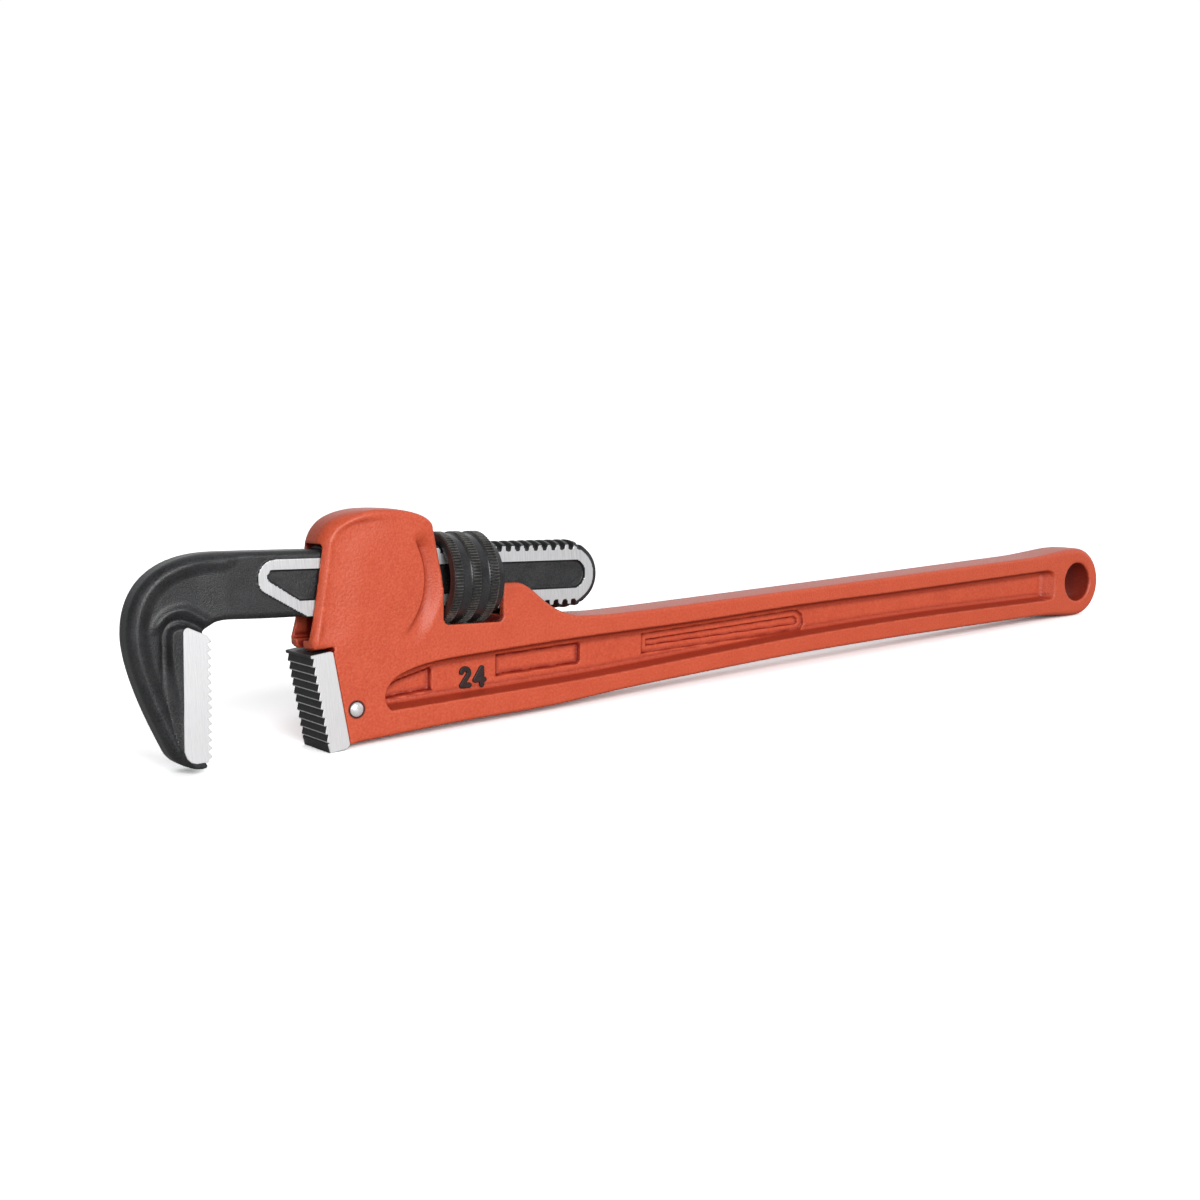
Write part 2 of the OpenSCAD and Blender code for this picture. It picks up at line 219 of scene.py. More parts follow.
def build(name, points, faces, materials, normals=None, smooth=True, slots=None):
    """A piece at the origin with its place in its mesh. Points are in the shank's frame."""
    mesh = bpy.data.meshes.new(name)
    mesh.from_pydata(placed(points).tolist(), [], [list(map(int, f)) for f in faces])
    for m in materials:
        mesh.materials.append(m)
    if slots is not None:
        mesh.polygons.foreach_set("material_index", np.asarray(slots, np.int32))
    mesh.polygons.foreach_set("use_smooth", np.full(len(mesh.polygons), smooth))
    mesh.update()
    if normals is not None:
        mesh.normals_split_custom_set_from_vertices((normals @ shank_axes).tolist())
    piece = bpy.data.objects.new(name, mesh)
    bpy.context.scene.collection.objects.link(piece)
    return piece


def add(tree, kind, inputs=None, **settings):
    """Adds a node. An input takes a plain value or another node's output."""
    made = tree.nodes.new(kind)
    for name, value in settings.items():
        setattr(made, name, value)
    for name, value in (inputs or {}).items():
        if isinstance(value, bpy.types.NodeSocket):
            tree.links.new(value, made.inputs[name])
        else:
            made.inputs[name].default_value = value
    return made


def sockets(tree, **named):
    """Names a group's sockets: Name=(direction, kind, default)."""
    for name, (way, kind, value) in named.items():
        made = tree.interface.new_socket(
            name.replace("_", " "), in_out=way, socket_type="NodeSocket" + kind)
        if value is not None:
            made.default_value = value


def math_node(tree, operation, a, b=0.0):
    return add(tree, "ShaderNodeMath", {0: a, 1: b}, operation=operation).outputs[0]


def blend_colour(tree, factor, a, b):
    return add(tree, "ShaderNodeMix", {0: factor, 6: a, 7: b}, data_type="RGBA").outputs[2]


def remap(tree, value, low, high, to_low=0.0, to_high=1.0):
    return add(tree, "ShaderNodeMapRange", {
        "Value": value, "From Min": low, "From Max": high, "To Min": to_low, "To Max": to_high,
    }).outputs[0]


# Grain: fine grain over broad waves, as on a casting, a forging or sprayed paint.
grain = bpy.data.node_groups.new("grain", "ShaderNodeTree")
sockets(
    grain, Grain_per_metre=("INPUT", "Float", 800.0), Waves_per_metre=("INPUT", "Float", 60.0),
    Wave_share=("INPUT", "Float", 0.3), Height=("OUTPUT", "Float", None), Tone=("OUTPUT", "Float", None),
)
g_in, g_out = grain.nodes.new("NodeGroupInput"), grain.nodes.new("NodeGroupOutput")
where = add(grain, "ShaderNodeTexCoord").outputs["Object"]
fine = add(grain, "ShaderNodeTexNoise", {
    "Vector": where, "Scale": g_in.outputs[0], "Detail": 3.0, "Roughness": 0.55}).outputs[0]
broad = add(grain, "ShaderNodeTexNoise", {
    "Vector": where, "Scale": g_in.outputs[1], "Detail": 2.0, "Roughness": 0.5}).outputs[0]
height = add(grain, "ShaderNodeMix", {
    0: g_in.outputs[2], 2: fine, 3: broad}, data_type="FLOAT").outputs[0]
grain.links.new(height, g_out.inputs[0])
grain.links.new(broad, g_out.inputs[1])

# Edges and hollows, from how sharply the mesh bends: 1 on worn outer edges, 1 in inner corners, which the
# enamel darkens as painted shade.
edges = bpy.data.node_groups.new("edges_and_hollows", "ShaderNodeTree")
sockets(
    edges, Edge_from=("INPUT", "Float", 0.53), Edge_to=("INPUT", "Float", 0.6),
    Hollow_from=("INPUT", "Float", 0.49), Hollow_to=("INPUT", "Float", 0.42),
    Edge=("OUTPUT", "Float", None), Hollow=("OUTPUT", "Float", None),
)
e_in, e_out = edges.nodes.new("NodeGroupInput"), edges.nodes.new("NodeGroupOutput")
bent = add(edges, "ShaderNodeNewGeometry").outputs["Pointiness"]
edges.links.new(remap(edges, bent, e_in.outputs[0], e_in.outputs[1]), e_out.inputs[0])
edges.links.new(remap(edges, bent, e_in.outputs[2], e_in.outputs[3]), e_out.inputs[1])


def material(name, **plain):
    """A material with its shader, whose plain values are set on the shader's own sockets."""
    made = bpy.data.materials.new(name)
    made.use_nodes = True
    tree = made.node_tree
    shader = tree.nodes["Principled BSDF"]
    for key, value in plain.items():
        shader.inputs[key.replace("_", " ")].default_value = value
    return made, tree, shader


def group(tree, which, **inputs):
    made = add(tree, "ShaderNodeGroup", node_tree=which)
    for key, value in inputs.items():
        made.inputs[key.replace("_", " ")].default_value = value
    return made


def bump(tree, shader, height, strength, distance):
    made = add(tree, "ShaderNodeBump", {"Height": height, "Strength": strength, "Distance": distance})
    tree.links.new(made.outputs[0], shader.inputs["Normal"])


def shade(tree, shader, by, low, high, dark, light):
    """Base colour from dark to light as a value goes from low to high."""
    tone = remap(tree, by, low, high)
    tree.links.new(blend_colour(tree, tone, (*dark, 1), (*light, 1)), shader.inputs["Base Color"])


pin_at = (-53.2, -54.8)  # the heel jaw pin's centre, x and z
ring_inner, ring_outer = 0.0037, 0.0044  # the dark line round the pin, metres from its centre
enamel, tree, shader = material(
    "orange_red_enamel", Metallic=0.0, IOR=1.5, Specular_IOR_Level=0.36,
    Coat_Weight=0.05, Coat_Roughness=0.2,
)
peel = group(tree, grain, Grain_per_metre=900.0, Waves_per_metre=70.0, Wave_share=0.25)
wear_and_shade = group(tree, edges, Edge_from=0.52, Edge_to=0.62, Hollow_from=0.499, Hollow_to=0.462)
tone = remap(tree, peel.outputs["Height"], 0.35, 0.65)
colour = blend_colour(tree, tone, (0.52, 0.071, 0.029, 1), (0.62, 0.102, 0.045, 1))
# The enamel darkens towards deep red as painted shade in inner corners, on the channel walls and in the
# slot and the window. In the hanging hole the darkening is grime and painted shade.
shade_and_grime_amount = add(tree, "ShaderNodeAttribute", attribute_name="closed_in").outputs["Fac"]
shade_and_grime_amount = remap(tree, shade_and_grime_amount, 0.05, 0.38, 0.0, 0.93)
shade_and_grime_amount = math_node(tree, "MAXIMUM", shade_and_grime_amount, math_node(tree, "MULTIPLY", wear_and_shade.outputs["Hollow"], 0.6))
from_pin = add(tree, "ShaderNodeVectorMath", {
    0: add(tree, "ShaderNodeTexCoord").outputs["Object"],
    1: tuple(placed([(pin_at[0], 0, pin_at[1])])[0])}, operation="SUBTRACT").outputs[0]
from_pin = add(tree, "ShaderNodeVectorMath", {
    0: from_pin, 1: (1.0, 0.0, 1.0)}, operation="MULTIPLY").outputs[0]
from_pin = add(tree, "ShaderNodeVectorMath", {0: from_pin}, operation="LENGTH").outputs["Value"]
around_pin = remap(tree, from_pin, ring_outer, ring_inner)
colour = blend_colour(tree, shade_and_grime_amount, colour, (0.20, 0.006, 0.003, 1))
colour = blend_colour(tree, around_pin, colour, (0.03, 0.008, 0.006, 1))
rubbed_edge = math_node(tree, "MULTIPLY", wear_and_shade.outputs["Edge"], 0.22)
colour = blend_colour(tree, rubbed_edge, colour, (0.80, 0.20, 0.10, 1))
tree.links.new(colour, shader.inputs["Base Color"])
tree.links.new(remap(tree, peel.outputs["Height"], 0.3, 0.7, 0.34, 0.46), shader.inputs["Roughness"])
bump(tree, shader, peel.outputs["Height"], 0.9, 0.0004)

# Outlines of the side view. The eye's centre is the tool frame's origin.
eye = (float(-shank_origin @ along * 1000), float(-shank_origin @ upward * 1000))
eye_r, hole_r, half_t = 21.0, 11.5, 12.5
web, floor_draft = 5.0, math.tan(math.radians(14))
seat = np.array([[-64.5, -28.3], [-56.4, -70.2]])
front_edge = bend((-69.3, 12), (-68.9, 25), (-62, 31), (-46, 32.2))
roof_edge = bend((-46, 32.2), (-30, 33.4), (-17, 30.5), (-14.6, 25))
silhouette = np.vstack([
    seat[::-1], [[-72.4, -28.6], [-74.0, -27.4], [-74.6, -24]], front_edge, roof_edge[1:],
    [[-9.6, 2], [-9, -2.2], [21.8, -2.2]],
    bend((30, -2.2), (40, -3), (46, -17.6), (66, -19.4)),
    [[84, -19.5], [112, -18.1], [250, -9.7]],
    bend((392, -0.9), (412, 0.4), (424, 3.6), (eye[0], eye[1] + eye_r)),
    arc(eye, eye_r, 88, -88, 48),
    bend((eye[0], eye[1] - eye_r), (424, -38.2), (410, -36.4), (392, -37.4)),
    flow([
        (285, -42.6), (209, -47.3), (140, -53), (90, -57.6), (54, -61.7), (-6, -65.7), (-54, -70),
    ])[:-1],
])
bead_line = np.vstack([[(-74.6, -24)], front_edge, roof_edge])
channel = np.vstack([
    bend((-36, -56.8), (-41, -53), (-40, -45.5), (-32, -41.2)),
    bend((-32, -41.2), (-22, -36.6), (-10, -35.6), (0, -34.7))[1:],
    flow([(0, -34.7), (53, -30.7), (138, -25.7), (207, -20.8), (282, -16.7), (410, -9.2)])[1:],
    bend((410, -9.2), (422.5, -8.6), (424, -28), (411, -27.6))[1:],
    flow([
        (411, -27.6), (283, -33), (207, -38), (139, -44), (77, -49.6), (-6, -54.9), (-36, -56.8),
    ])[1:-1],
])
front_panel = [(-37, -53), (-37.5, -48.5), (-30, -44.2), (-13, -39.6), (-12, -40.5), (-12, -50.6)]
mid_panel = [(22, -36.2), (68.5, -33.2), (70, -34.5), (70, -42.6), (68.5, -44), (22, -46.6)]
long_panel = [(107, -31.2), (211, -24.2), (215.5, -27), (216.4, -32.5), (213, -35.6), (107, -41.4)]
# Each panel's outline, how far in its rim is, and its depth. The long one is two steps deep.
panels = [(front_panel, 0.0, 2.0), (mid_panel, 0.0, 2.0), (long_panel, 0.0, 1.1), (long_panel, 2.9, 2.1)]
panel_lean, panel_scale = 0.45, 0.9  # how the panels' walls lean, and the cosine of that
draft_scale = 0.97  # the cosine of the channel walls' draft
end_x, end_lean, end_scale = 417.9, 0.8, 0.78  # the channel's end wall: place, lean and cosine
tenon_pocket = np.array([
    (-66, -37.8), (-49.8, -41.8), (-43.8, -47), (-43.8, -60), (-49.8, -64.2), (-60, -66.2)])
# A name ending in half is a half width across the tool, except the window's, which is a half
# length. One ending in mid is a centre, and in reach half a length or height about it.
tenon_pocket_half, hole_lip, side_draft = 5.2, 1.9, 0.02
eye_pulled_in = 0.12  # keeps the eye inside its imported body
nose_depth, nose_flat, nose_run = 7.0, 4, 8.7  # the front's rounding in plan
cheek_depth, scoop_centre, scoop_r, scoop_depth = 1.2, (-50.8, 0.7), 30.8, 2.9
slot_half, slot_mid, slot_reach, slot_back = 8.2, -3.6, 20.6, -8.4
window_mid, window_half, window_r = 6.2, 15.6, 23.2
guide_mid, guide_reach, guide_floor = 38, 32, -17.4
notch_half, notch_back, notch_top = 3.2, -68, -22
coil_x, coil_pocket_r, coil_pocket_mid, coil_pocket_reach = -46.0, 5.6, -27, 8


def casting(x, y, z):
    """The handle: below zero inside the iron."""
    w = np.abs(y)
    # the housing's front is rounded in plan, down to the heel jaw's seat
    nose = nose_depth * (1 - np.sqrt(1 - np.clip((w - nose_flat) / nose_run, 0, 0.99) ** 2))
    nose = nose * (1 - 0.93 * ease(-64, -44, x))
    nose = nose * (0.35 + 0.65 * ease(-27, -12, z)) * ease(-30, -26, z)
    side = away(silhouette, x, z) + nose + side_draft * w + eye_pulled_in * ease(396, 428, x)
    # a rounded bead follows the front and the roof, round a slightly hollow cheek
    bead = reach(bead_line, x, z)
    hollow = cheek_depth * ease(3.0, 5.4, bead) * (1 - ease(6, 22, bead))
    hollow = hollow * (1 - ease(-56, -34, x)) * ease(-30, -18, z)
    # the crescent scoop that leaves room for the thumb on the nut
    from_arc = np.hypot(x - scoop_centre[0], z - scoop_centre[1]) - scoop_r
    turn = np.degrees(np.arctan2(z - scoop_centre[1], x - scoop_centre[0]))
    ends = ease(-56, -16, turn) * (1 - ease(24, 38, turn))
    scoop = scoop_depth * ends * ease(0, 2.0, from_arc) * (1 - 0.9 * ease(3.0, 10.5, from_arc))
    face = half_t - hollow * (1 - 0.8 * ends * ease(-3, 1, from_arc)) - scoop
    seat_near = reach(seat, x, z)
    edge_r = 0.45 + 1.35 * ease(0.8, 5, seat_near) + 1.6 * ease(396, 428, x)
    body = shared(side, w - face, edge_r)
    # side channels with drafted walls, and the sunk panels in their floors
    wall = (away(channel, x, z) + (half_t - w) * floor_draft) * draft_scale
    wall = shared(wall, (x - end_x + (half_t - w) * end_lean) * end_scale, 1.2)
    sunk = shared(wall, web - w, 1.7)
    for outline, inset, depth in panels:
        lean = away(outline, x, z) + inset + np.maximum(web - w, -0.3) * panel_lean
        sunk = joined(sunk, shared(lean * panel_scale, web - depth - w, 0.35), 0.3)
    body = cut(body, sunk, 0.8)
    # the nut's window, round-bottomed, with the slot before it and the guide behind it
    low = np.hypot(y, np.minimum(z, 0))
    window = shared(np.abs(x - window_mid) - window_half, low - window_r, 2.5)
    slot = shared(shared(w - slot_half, np.abs(z - slot_mid) - slot_reach, 1.5), x - slot_back, 0.1)
    guide = shared(shared(w - slot_half, guide_floor - z, 2.0), np.abs(x - guide_mid) - guide_reach, 0.1)
    body = cut(body, window, 0.9)
    body = cut(body, slot, 1.0)
    # the slot's sill is notched in the middle, between two lips
    body = cut(body, shared(shared(w - notch_half, x - notch_back, 0.6), z - notch_top, 0.3), 0.8)
    body = cut(body, guide, 0.9)
    # pockets for the coil spring and the heel jaw's tenon
    well = shared(
        np.hypot(x - coil_x, y) - coil_pocket_r, np.abs(z - coil_pocket_mid) - coil_pocket_reach, 0.3)
    mortise = shared(away(tenon_pocket, x, z), w - tenon_pocket_half, 0.3)
    body = cut(body, np.minimum(well, mortise), 0.3)
    # the hanging hole, with a smooth lip
    return shared(body, hole_r - np.hypot(x - eye[0], z - eye[1]), hole_lip)


def stations(*runs):
    """Grid lines from runs of (start, end, step)."""
    return np.concatenate([np.arange(a, b - s / 2, s) for a, b, s in runs])


# The grid is finer round the head, the eye and the ends of the long panel.
points, faces, normals = skin(
    casting,
    stations(
        (-76.3, 73.7, 0.85), (73.7, 101, 1.6), (101, 112, 0.7), (112, 207, 1.9), (207, 219, 0.7),
        (219, 398, 2.4), (398, 463, 0.9)),
    stations((-13.95, 14.4, 0.85)),
    stations((-72.1, 36, 0.85)),
)
handle = build("handle_casting", points, faces, [enamel], normals)
# Painted shade where the casting is closed in and inside the slot and the window, with grime and painted
# shade inside the hanging hole.
bay_x, bay_z, bay_half = (-67, 21.95), (-24.6, 17.5), 8.6
bore_grime_and_shade, bay_shade, wall_shade = 0.3, 0.38, 0.26
px, py, pz = points.T
bore = np.hypot(px - eye[0], pz - eye[1]) < hole_r + 0.4
bay = (px > bay_x[0]) & (px < bay_x[1]) & (pz > bay_z[0]) & (pz < bay_z[1]) & (np.abs(py) < bay_half)
inside = np.where(bore, bore_grime_and_shade, np.where(bay, bay_shade, 0))
shade_and_grime = np.maximum(shelter(casting, points, normals), inside)
# Painted shade also on the drafted walls of the side channels and their panels.
walls = (away(channel, px, pz) < 1.2) & (px < 410) & (np.abs(py) < half_t - 0.2)
shade_and_grime = np.maximum(shade_and_grime, wall_shade * walls * (1 - ease(0.6, 0.9, np.abs(normals[:, 1]))))
closed_in = handle.data.attributes.new("closed_in", "FLOAT", "POINT")
closed_in.data.foreach_set("value", shade_and_grime)
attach(handle, "handle")
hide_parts("handle")

# ------------------------------------------------------------------ size mark
# The nominal length in inches stands up from the channel's floor. It is cast with the
# handle, and its face is rolled with black marking paint.

mark_paint, tree, shader = material("black_marking_paint", Metallic=0.0, IOR=1.45)
flecks = group(tree, grain, Grain_per_metre=1500.0, Waves_per_metre=300.0, Wave_share=0.4)
shade(tree, shader, flecks.outputs["Height"], 0.4, 0.7, (0.012, 0.008, 0.008), (0.045, 0.012, 0.01))
tree.links.new(remap(tree, flecks.outputs["Tone"], 0.3, 0.7, 0.4, 0.6), shader.inputs["Roughness"])
bump(tree, shader, flecks.outputs["Height"], 0.3, 0.0002)

two = np.vstack([arc((3.4, 7.2), 1.95, 165, -25, 14), [(1.6, 1.45)], [(5.6, 1.45)]])
four = np.array([(4.9, 1.2), (4.9, 9.0), (1.3, 3.6), (6.2, 3.6)])
mark_at, four_at, stroke = (1.9, -51.0), 7.4, 1.25
mark_out, mark_half = 0.3, 0.75  # its mid-plane's height over the channel's floor, and half its depth


def numerals(x, y, z):
    """The two figures: below zero inside their strokes."""
    u, v = x - mark_at[0], z - mark_at[1]
    flat = np.minimum(reach(two, u, v), reach(four, u - four_at, v)) - stroke
    return shared(flat, np.abs(y + web + mark_out) - mark_half, 0.35)


points, faces, normals = skin(
    numerals, stations((1.03, 18, 0.28)), stations((-6.7, -3.8, 0.28)), stations((-52.4, -38.9, 0.28)))
size_mark = build("size_mark", points, faces, [mark_paint], normals)
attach(size_mark, "handle")

# ------------------------------------------------------------------ heel jaw
# The lower jaw is a hardened steel block with ten raked teeth. Its sides are ground flush
# with the housing, its back sits on a machined seat, and a tenon holds it in line.

jaw_black, tree, shader = material("blackened_jaw_steel", Metallic=0.35, IOR=1.5)
scale = group(tree, grain, Grain_per_metre=1300.0, Waves_per_metre=160.0, Wave_share=0.35)
shade(tree, shader, scale.outputs["Height"], 0.35, 0.65, (0.012, 0.012, 0.013), (0.04, 0.04, 0.042))
tree.links.new(remap(tree, scale.outputs["Tone"], 0.3, 0.7, 0.32, 0.5), shader.inputs["Roughness"])
bump(tree, shader, scale.outputs["Height"], 0.35, 0.0002)

# Brushing: long fine scratches in one direction, set by how far the grain is stretched.
brushing = bpy.data.node_groups.new("brushing", "ShaderNodeTree")
sockets(
    brushing, Stretch=("INPUT", "Vector", (4000.0, 4000.0, 120.0)),
    Height=("OUTPUT", "Float", None), Tone=("OUTPUT", "Float", None),
)
b_in, b_out = brushing.nodes.new("NodeGroupInput"), brushing.nodes.new("NodeGroupOutput")
where = add(brushing, "ShaderNodeTexCoord").outputs["Object"]
drawn = add(brushing, "ShaderNodeVectorMath", {
    0: where, 1: b_in.outputs[0]}, operation="MULTIPLY").outputs[0]
scratch = add(brushing, "ShaderNodeTexNoise", {
    "Vector": drawn, "Scale": 1.0, "Detail": 4.0, "Roughness": 0.6}).outputs[0]
cloud = add(brushing, "ShaderNodeTexNoise", {"Vector": where, "Scale": 90.0, "Detail": 2.0}).outputs[0]
brushing.links.new(scratch, b_out.inputs[0])
sharp = math_node(brushing, "MULTIPLY", scratch, 0.7)
soft = math_node(brushing, "MULTIPLY", cloud, 0.3)
brushing.links.new(math_node(brushing, "ADD", sharp, soft), b_out.inputs[1])

ground, tree, shader = material("ground_steel", Metallic=0.6)
lines = group(tree, brushing, Stretch=(2600.0, 2600.0, 110.0))
shade(tree, shader, lines.outputs["Tone"], 0.35, 0.65, (0.74, 0.74, 0.75), (0.92, 0.92, 0.93))
tree.links.new(remap(tree, lines.outputs["Tone"], 0.3, 0.7, 0.5, 0.34), shader.inputs["Roughness"])
bump(tree, shader, lines.outputs["Height"], 0.25, 0.00008)


def inset(outline, d):
    """An outline moved inwards by d. It runs clockwise or anticlockwise."""
    p = np.asarray(outline, float)
    before, after = p - np.roll(p, 1, 0), np.roll(p, -1, 0) - p
    before /= np.linalg.norm(before, axis=1)[:, None]
    after /= np.linalg.norm(after, axis=1)[:, None]
    turn = np.sign(np.sum(p[:, 0] * np.roll(p[:, 1], -1) - p[:, 1] * np.roll(p[:, 0], -1)))
    n1 = np.stack([-before[:, 1], before[:, 0]], 1) * turn
    n2 = np.stack([-after[:, 1], after[:, 0]], 1) * turn
    mitre = n1 + n2
    mitre /= np.maximum((mitre * n1).sum(1), 0.5)[:, None]
    return p + d * mitre


def slab(outline, half, edge):
    """A side-view outline drawn across the tool, with its two long rims chamfered by edge."""
    p, q = np.asarray(outline, float), inset(outline, edge)
    n = len(p)
    rings = [(q, half), (p, half - edge), (p, edge - half), (q, -half)]
    verts = np.vstack([np.stack([r[:, 0], np.full(n, y), r[:, 1]], 1) for r, y in rings])
    turn = np.sum(p[:, 0] * np.roll(p[:, 1], -1) - p[:, 1] * np.roll(p[:, 0], -1))
    faces = []
    for k in range(3):
        for i in range(n):
            j = (i + 1) % n
            faces.append([k * n + i, k * n + j, (k + 1) * n + j, (k + 1) * n + i])
    faces += [list(range(n - 1, -1, -1)), list(range(3 * n, 4 * n))]
    if turn < 0:
        faces = [f[::-1] for f in faces]
    return verts, [f[::-1] for f in faces], n


def tooth_row(start, pitch, depth, count, land, rake=0.76, relief=0.12):
    """Raked teeth down a line, biting towards -x: for each one its root, its tip, its land."""
    rows = []
    for i in range(count):
        z = start[1] - i * pitch
        tip_x, tip_z = start[0] - depth, z - rake * pitch
        rows += [(start[0], z), (tip_x, tip_z), (tip_x + relief, tip_z - land)]
    return rows


def turned(points, at, degrees):
    """Points turned anticlockwise about zero, then moved to at."""
    c, s = math.cos(math.radians(degrees)), math.sin(math.radians(degrees))
    p = np.asarray(points, float)
    return np.stack([at[0] + p[:, 0] * c - p[:, 1] * s, at[1] + p[:, 0] * s + p[:, 1] * c], 1)


heel_lean = math.degrees(math.atan2(seat[1][0] - seat[0][0], seat[0][1] - seat[1][1]))
heel_half, heel_chamfer, heel_count = 13.2, 0.28, 10
heel_pitch, tooth_depth, tooth_land = 3.75, 1.15, 0.6
heel_teeth = tooth_row((-9.35, -1.35), heel_pitch, tooth_depth, heel_count, tooth_land)
heel_top = [(-0.9, -0.3), (-1.7, 0.0), (-10.3, 0.4), (-10.7, 0.15), (-10.65, -0.95), (-9.4, -1.3)]
heel_foot = [
    (-9.35, -38.85), (-10.2, -39.1), (-10.4, -39.6), (-10.1, -43.2), (-9.8, -43.5), (-2.6, -43.7),
    (-1.6, -43.4), (-0.35, -42.5), (-0.18, -41.9), (-0.18, -0.8)]
heel_profile = turned(heel_top + heel_teeth[1:] + heel_foot, seat[0], heel_lean)
points, faces, n = slab(heel_profile, heel_half, heel_chamfer)
slots = [1] * n + [0] * n + [1] * n + [1, 1]
for i in range(heel_count):
    slots[n + len(heel_top) + 3 * i] = 2  # the narrow land along each tooth's tip, rubbed bright
rubbed, tree, shader = material("rubbed_tooth_land", Metallic=0.5)
rub = group(tree, grain, Grain_per_metre=900.0, Waves_per_metre=240.0, Wave_share=0.5)
shade(tree, shader, rub.outputs["Height"], 0.35, 0.65, (0.5, 0.5, 0.51), (0.75, 0.75, 0.76))
tree.links.new(remap(tree, rub.outputs["Tone"], 0.3, 0.7, 0.35, 0.5), shader.inputs["Roughness"])
heel_jaw = build("heel_jaw_block", points, faces, [jaw_black, ground, rubbed], smooth=False, slots=slots)
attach(heel_jaw, "handle")
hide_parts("heel_jaw")

tenon_half, tenon_chamfer = 5.0, 0.4
tenon = [(-64.2, -38.2), (-50, -42), (-44, -47), (-44, -60), (-50, -64), (-57.8, -65.6)]
points, faces, _ = slab(tenon, tenon_half, tenon_chamfer)
heel_tenon = build("heel_jaw_tenon", points, faces, [jaw_black], smooth=False)
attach(heel_tenon, "handle")

# ------------------------------------------------------------------ heel jaw pin
# A plain steel pin through housing and tenon, hammered over at both ends into low domes
# that stay bright where the paint has come off.

pin_r, pin_half, pin_sides = 3.28, 11, 48
dome, dome_sunk = 1.2, 0.35  # its height over the casting's face, and how far it starts below
bright, tree, shader = material("bright_pin_steel", Metallic=0.55)
dents = group(tree, grain, Grain_per_metre=900.0, Waves_per_metre=350.0, Wave_share=0.6)
shade(tree, shader, dents.outputs["Tone"], 0.35, 0.65, (0.74, 0.75, 0.76), (0.90, 0.90, 0.91))
tree.links.new(remap(tree, dents.outputs["Height"], 0.3, 0.7, 0.22, 0.38), shader.inputs["Roughness"])
bump(tree, shader, dents.outputs["Height"], 0.3, 0.0002)


def revolve(profile, around=96):
    """A closed solid turned about the x axis from (x, r) stations."""
    profile = np.asarray(profile, float)
    a = np.linspace(0, 2 * np.pi, around, endpoint=False)
    n = len(profile)
    points = np.stack([
        np.repeat(profile[:, 0], around), (profile[:, 1][:, None] * np.cos(a)).ravel(),
        (profile[:, 1][:, None] * np.sin(a)).ravel()], 1)
    faces = []
    for k in range(n - 1):
        for i in range(around):
            j = (i + 1) % around
            faces.append([k * around + i, (k + 1) * around + i, (k + 1) * around + j, k * around + j])
    return points, faces


foot = half_t - dome_sunk
angles = np.radians(np.linspace(0, 84, 10))
rise = [(foot + (dome + dome_sunk) * math.sin(a), pin_r * math.cos(a)) for a in angles]
far_rise = [(-x, r) for x, r in rise[::-1]]
points, faces = revolve(far_rise + [(-pin_half, pin_r), (pin_half, pin_r)] + rise, pin_sides)
last = len(points) - pin_sides
faces += [list(range(pin_sides)), list(range(last + pin_sides - 1, last - 1, -1))]
points = np.stack([pin_at[0] + points[:, 1], points[:, 0], pin_at[1] + points[:, 2]], 1)
pin = build("heel_jaw_pin_domed", points, faces, [bright])
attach(pin, "handle")
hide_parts("heel_jaw_pin")

# ------------------------------------------------------------------ hook jaw
# The hook and its shank are one drop forging: a bullnose rim round a thinner web, a boss
# behind the teeth, and a flat shank with thread on its two narrow edges. It is coated
# black, and only the shank's sides and the toothed block's sides are ground bright.

forged, tree, shader = material("black_forging", Metallic=0.0, IOR=1.5)
skin_grain = group(tree, grain, Grain_per_metre=1700.0, Waves_per_metre=120.0, Wave_share=0.25)
wear_and_shade = group(tree, edges, Edge_from=0.53, Edge_to=0.68, Hollow_from=0.48, Hollow_to=0.38)
tone = remap(tree, skin_grain.outputs["Height"], 0.38, 0.68)
black = blend_colour(tree, tone, (0.008, 0.0083, 0.009, 1), (0.036, 0.0365, 0.039, 1))
worn_edge = math_node(tree, "MULTIPLY", wear_and_shade.outputs["Edge"], 0.35)
black = blend_colour(tree, worn_edge, black, (0.07, 0.07, 0.075, 1))
# The ground faces are the ones on the shank that stand furthest out across the tool.
shank_half, recess_half, ground_from = 7.5, 6.1, -99.5
ground_out = 0.00746  # metres from the mid-plane, just inside the ground faces
place = add(tree, "ShaderNodeSeparateXYZ", {0: add(tree, "ShaderNodeTexCoord").outputs["Object"]})
out_y = math_node(tree, "ABSOLUTE", place.outputs["Y"])
shank_start = float(placed([(ground_from, 0, 0)])[0][0])
on_shank = math_node(tree, "GREATER_THAN", place.outputs["X"], shank_start)
bare = math_node(tree, "MULTIPLY", on_shank, math_node(tree, "GREATER_THAN", out_y, ground_out))
lines = group(tree, brushing, Stretch=(2600.0, 2600.0, 110.0))
tone = remap(tree, lines.outputs["Tone"], 0.35, 0.65)
steel = blend_colour(tree, tone, (0.56, 0.56, 0.57, 1), (0.76, 0.76, 0.77, 1))
tree.links.new(blend_colour(tree, bare, black, steel), shader.inputs["Base Color"])
tree.links.new(math_node(tree, "MULTIPLY", bare, 0.6), shader.inputs["Metallic"])
dull = remap(tree, skin_grain.outputs["Height"], 0.3, 0.7, 0.30, 0.44)
shine = remap(tree, lines.outputs["Tone"], 0.3, 0.7, 0.52, 0.36)
rough = add(tree, "ShaderNodeMix", {0: bare, 2: dull, 3: shine}, data_type="FLOAT").outputs[0]
tree.links.new(rough, shader.inputs["Roughness"])
faint_lines = math_node(tree, "MULTIPLY", lines.outputs["Height"], 0.3)
relief = add(tree, "ShaderNodeMix", {
    0: bare, 2: skin_grain.outputs["Height"], 3: faint_lines}, data_type="FLOAT").outputs[0]
bump(tree, shader, relief, 0.85, 0.0003)

